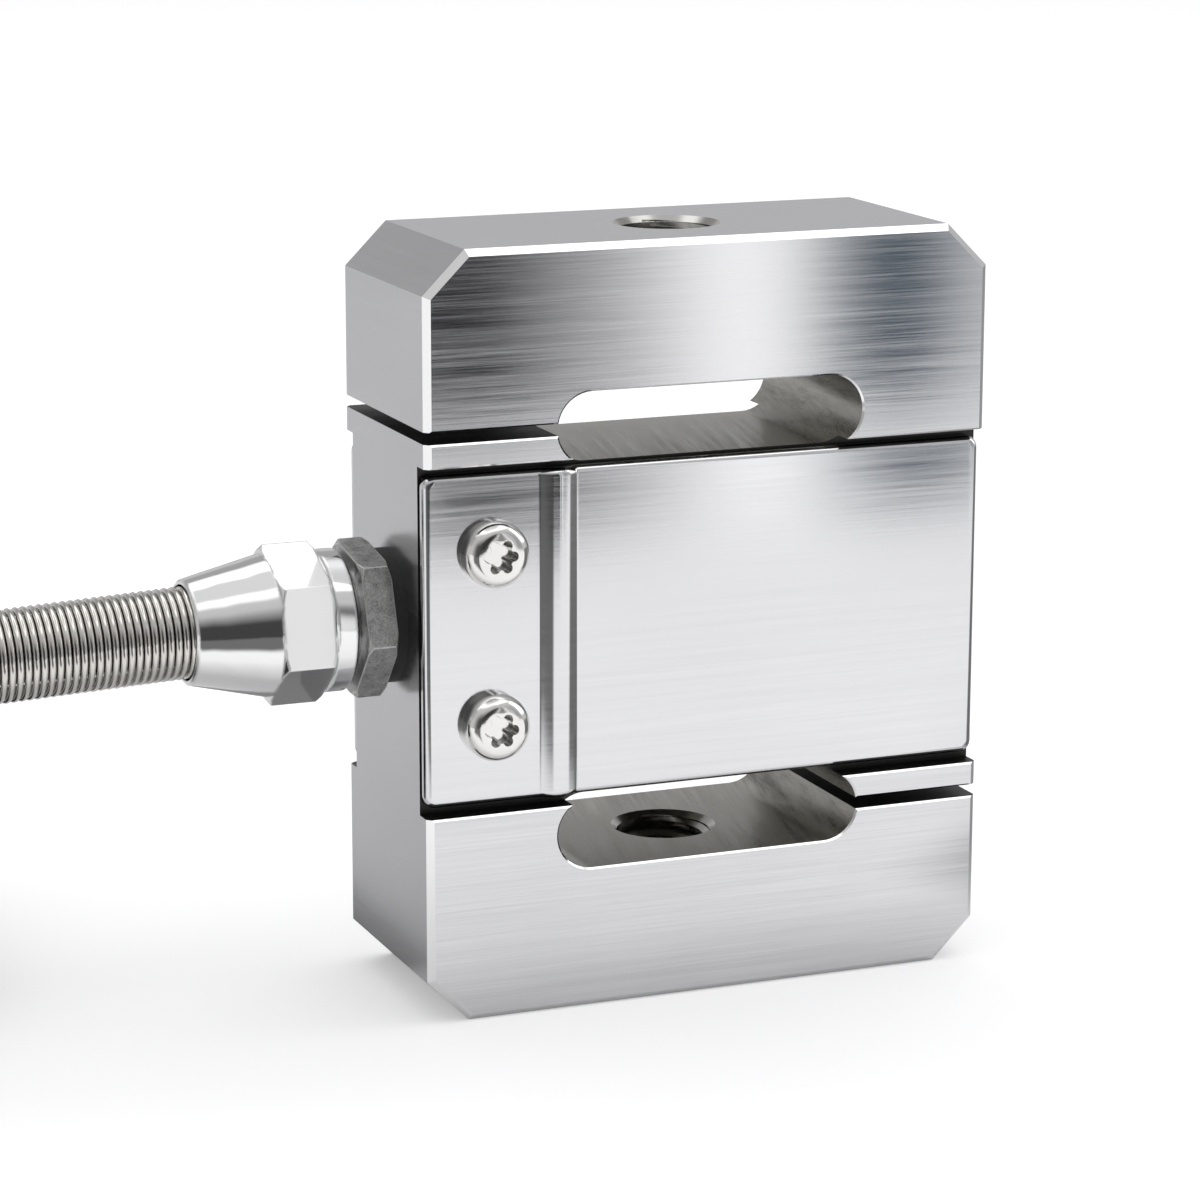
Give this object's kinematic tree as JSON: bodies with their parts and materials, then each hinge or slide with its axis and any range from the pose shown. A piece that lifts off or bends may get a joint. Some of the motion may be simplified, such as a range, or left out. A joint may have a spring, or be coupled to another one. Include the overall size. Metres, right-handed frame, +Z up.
{
  "type": "s type load cell",
  "caption": "Slotted steel S type load cell with threaded holes top and bottom, gauge covers front and back, and a cable in a sprung gland.",
  "frame": {"origin": "centre of the lower threaded hole on the bottom face of the block", "axes": "+Z up along the load axis through both threaded holes, +X to the right with the cable gland on -X, -Y towards the front cover"},
  "size_m": [0.1502, 0.0737, 0.064],
  "materials": {
    "block_steel": "plated alloy steel, brushed along the long faces, polished bevels",
    "cover_steel": "pressed sheet, fine brushed",
    "gasket_rubber": "matt black sheet",
    "screw_steel": "bright, with darker recesses",
    "gauge_foil": "amber film with metal foil",
    "board_laminate": "green laminate with solder pads",
    "resistor_body": "dark glaze",
    "red_insulation": "smooth",
    "black_insulation": "smooth",
    "green_insulation": "smooth",
    "white_insulation": "smooth",
    "washer_rubber": "matt black",
    "lock_nut_steel": "dull grey plating, slightly grainy",
    "polished_plate": "mirror bright",
    "seal_rubber": "matt black",
    "clamp_plastic": "natural plastic",
    "spring_steel": "bright spring wire",
    "cable_sheath": "satin dark grey sheath",
    "stripped_leads": "thin coloured cores and a bare screen wire",
    "tie_plastic": "black strap"
  },
  "bodies": {
    "root": {"body": "block_steel", "front_cover": "cover_steel", "back_cover": "cover_steel", "front_gasket": "gasket_rubber", "back_gasket": "gasket_rubber", "front_screw_upper": "screw_steel", "front_screw_lower": "screw_steel", "back_screw_upper": "screw_steel", "back_screw_lower": "screw_steel", "front_strain_gauge": "gauge_foil", "back_strain_gauge": "gauge_foil", "front_terminal_board": "board_laminate", "back_terminal_board": "board_laminate", "front_trim_resistor": "resistor_body", "back_trim_resistor": "resistor_body", "red_inner_lead": "red_insulation", "black_inner_lead": "black_insulation", "green_inner_lead": "green_insulation", "white_inner_lead": "white_insulation", "sealing_washer": "washer_rubber", "lock_nut": "lock_nut_steel", "gland_body": "polished_plate", "compression_nut": "polished_plate", "cable_seal": "seal_rubber", "clamp_ring": "clamp_plastic", "spring_guard": "spring_steel", "cable_inner_end": "cable_sheath", "cable_lead": "cable_sheath", "cable_coil": "cable_sheath", "cable_tail": "cable_sheath", "cable_end_leads": "stripped_leads", "coil_tie_right": "tie_plastic", "coil_tie_left": "tie_plastic"}
  },
  "joints": []
}
